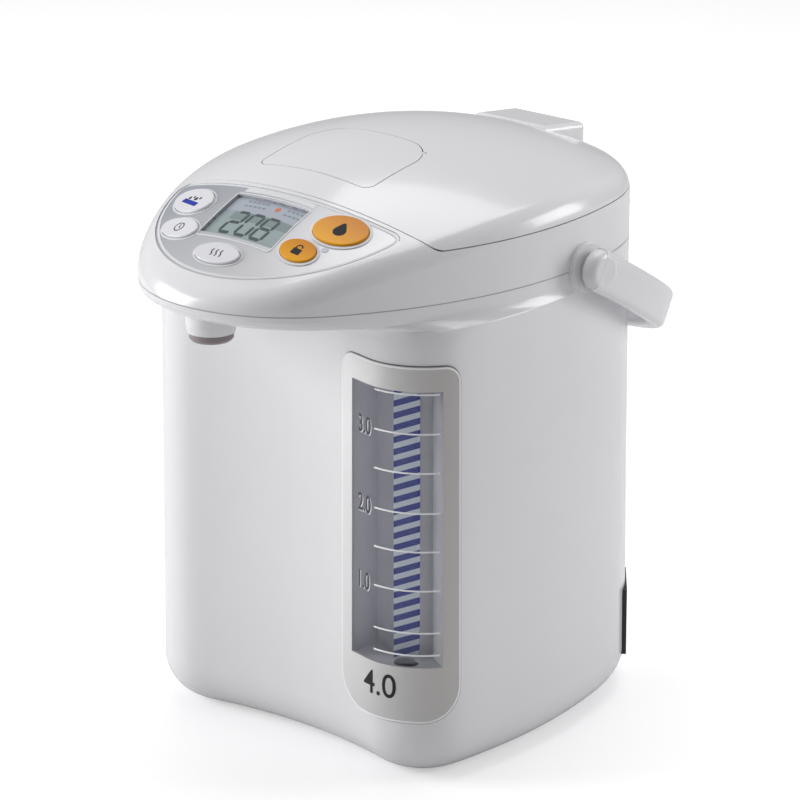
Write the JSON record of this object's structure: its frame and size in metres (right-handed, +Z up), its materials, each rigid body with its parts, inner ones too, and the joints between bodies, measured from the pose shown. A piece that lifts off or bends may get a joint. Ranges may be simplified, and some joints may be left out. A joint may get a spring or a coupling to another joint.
{
  "type": "electric thermo pot",
  "caption": "Hot-water dispenser with a tilted button panel and display, a beak-shaped spout head, a hinged lid, a water gauge window and a fold-down bail handle.",
  "frame": {"origin": "on the surface the pot stands on, under the middle of the base, in the pot's symmetry plane", "axes": "+Z up, -Y towards the user (the spout and the panel), +X to the right seen from the front"},
  "size_m": [0.2362, 0.307, 0.3153],
  "materials": {
    "case_gloss": "gloss",
    "handle_gloss": "gloss",
    "base_plastic": "matte",
    "panel_silver": "satin",
    "bezel_silver": "satin",
    "button_orange": "gloss",
    "lcd_glass": "gloss",
    "window_glass": "gloss",
    "tube_glass": "gloss",
    "lcd_grey": "matte",
    "backing_grey": "matte",
    "board_green": "matte",
    "black_plastic": "matte",
    "button_white": "gloss",
    "lamp_grey": "gloss",
    "steel": "brushed",
    "polished_steel": "polished",
    "silicone": "matte",
    "dark_rubber": "matte",
    "tip_brown": "matte",
    "felt": "matte",
    "foam": "matte",
    "brass": "satin"
  },
  "bodies": {
    "pot": {"outer_case": "case_gloss", "shoulder_ring": "case_gloss", "handle_bosses": "case_gloss", "handle_pins": "polished_steel", "bottom_cover": "base_plastic", "base_feet": "dark_rubber", "base_screws": "steel", "control_panel": "panel_silver", "lcd_lens": "lcd_glass", "lcd_module": "lcd_grey", "control_board": "board_green", "button_switches": "black_plastic", "indicator_lamp": "lamp_grey", "window_bezel": "bezel_silver", "gauge_window": "window_glass", "gauge_backing": "backing_grey", "gauge_tube": "tube_glass", "gauge_cap": "silicone", "gauge_hose": "silicone", "inner_container": "steel", "mesh_filter": "steel", "container_seal": "silicone", "insulation_jacket": "felt", "plate_heater": "steel", "heater_clamp": "steel", "temperature_sensor": "brass", "thermal_fuse": "black_plastic", "tank_support": "base_plastic", "pump_housing": "black_plastic", "pump_cover": "black_plastic", "pump_motor": "steel", "inlet_hose": "silicone", "outlet_hose": "silicone", "spout_pipe": "silicone", "anti_tip_valve": "base_plastic", "spout_nozzle": "case_gloss", "nozzle_tip": "tip_brown", "power_board": "board_green", "inlet_socket": "black_plastic", "inlet_pins": "brass", "hinge_bracket": "case_gloss", "latch_keeper": "steel"},
    "lid": {"outer_lid": "case_gloss", "lid_underplate": "base_plastic", "inner_lid": "steel", "lid_insulation": "foam", "lid_gasket": "silicone", "steam_valve": "base_plastic", "hinge_pin": "steel"},
    "lever": {"lid_lever": "case_gloss"},
    "latch": {"latch_bolt": "base_plastic"},
    "handle": {"handle": "handle_gloss"},
    "pump_rotor": {"motor_rotor": "steel", "pump_impeller": "base_plastic"},
    "valve": {"valve_ball": "polished_steel"},
    "dispense_button": {"dispense_button": "button_orange"},
    "unlock_button": {"unlock_button": "button_orange"},
    "temp_set_button": {"temp_set_button": "button_white"},
    "timer_button": {"timer_button": "button_white"},
    "reboil_button": {"reboil_button": "button_white"}
  },
  "joints": [
    {"name": "lid_hinge", "type": "hinge", "parent": "pot", "child": "lid", "pos_m": [0, 0.126, 0.287], "axis": [-1, 0, 0], "range_deg": [0, 80]},
    {"name": "lever_hinge", "type": "hinge", "parent": "lid", "child": "lever", "pos_m": [0, -0.01, 0.30951], "axis": [-1, 0, 0], "range_deg": [0, 25], "stiffness_Nm_per_rad": 0.15, "springref_deg": -11.46},
    {"name": "latch_slide", "type": "slide", "parent": "lid", "child": "latch", "axis": [0, 1, 0], "range_m": [0, 0.0041]},
    {"name": "handle_hinge", "type": "hinge", "parent": "pot", "child": "handle", "pos_m": [0, 0.036, 0.254], "axis": [1, 0, 0], "range_deg": [0, 118]},
    {"name": "pump_spin", "type": "hinge", "parent": "pot", "child": "pump_rotor", "pos_m": [0.014, -0.036, 0.03], "axis": [0, 0, 1], "continuous": true},
    {"name": "valve_slide", "type": "slide", "parent": "pot", "child": "valve", "axis": [0, -1, 0], "range_m": [0, 0.005]},
    {"name": "dispense_press", "type": "slide", "parent": "pot", "child": "dispense_button", "axis": [-0.2118, 0.3822, -0.8995], "range_m": [0, 0.0012], "stiffness_N_per_m": 600, "springref_m": -0.0012},
    {"name": "unlock_press", "type": "slide", "parent": "pot", "child": "unlock_button", "axis": [-0.1705, 0.4585, -0.8722], "range_m": [0, 0.0012], "stiffness_N_per_m": 600, "springref_m": -0.0012},
    {"name": "temp_set_press", "type": "slide", "parent": "pot", "child": "temp_set_button", "axis": [0.0044, 0.5198, -0.8543], "range_m": [0, 0.0012], "stiffness_N_per_m": 600, "springref_m": -0.0012},
    {"name": "timer_press", "type": "slide", "parent": "pot", "child": "timer_button", "axis": [0.1743, 0.4725, -0.8639], "range_m": [0, 0.0012], "stiffness_N_per_m": 600, "springref_m": -0.0012},
    {"name": "reboil_press", "type": "slide", "parent": "pot", "child": "reboil_button", "axis": [0.2172, 0.3957, -0.8923], "range_m": [0, 0.0012], "stiffness_N_per_m": 600, "springref_m": -0.0012}
  ],
  "couplings": [
    {"joint": "latch_slide", "follows": "lever_hinge", "m_per_rad": 0.0091}
  ]
}
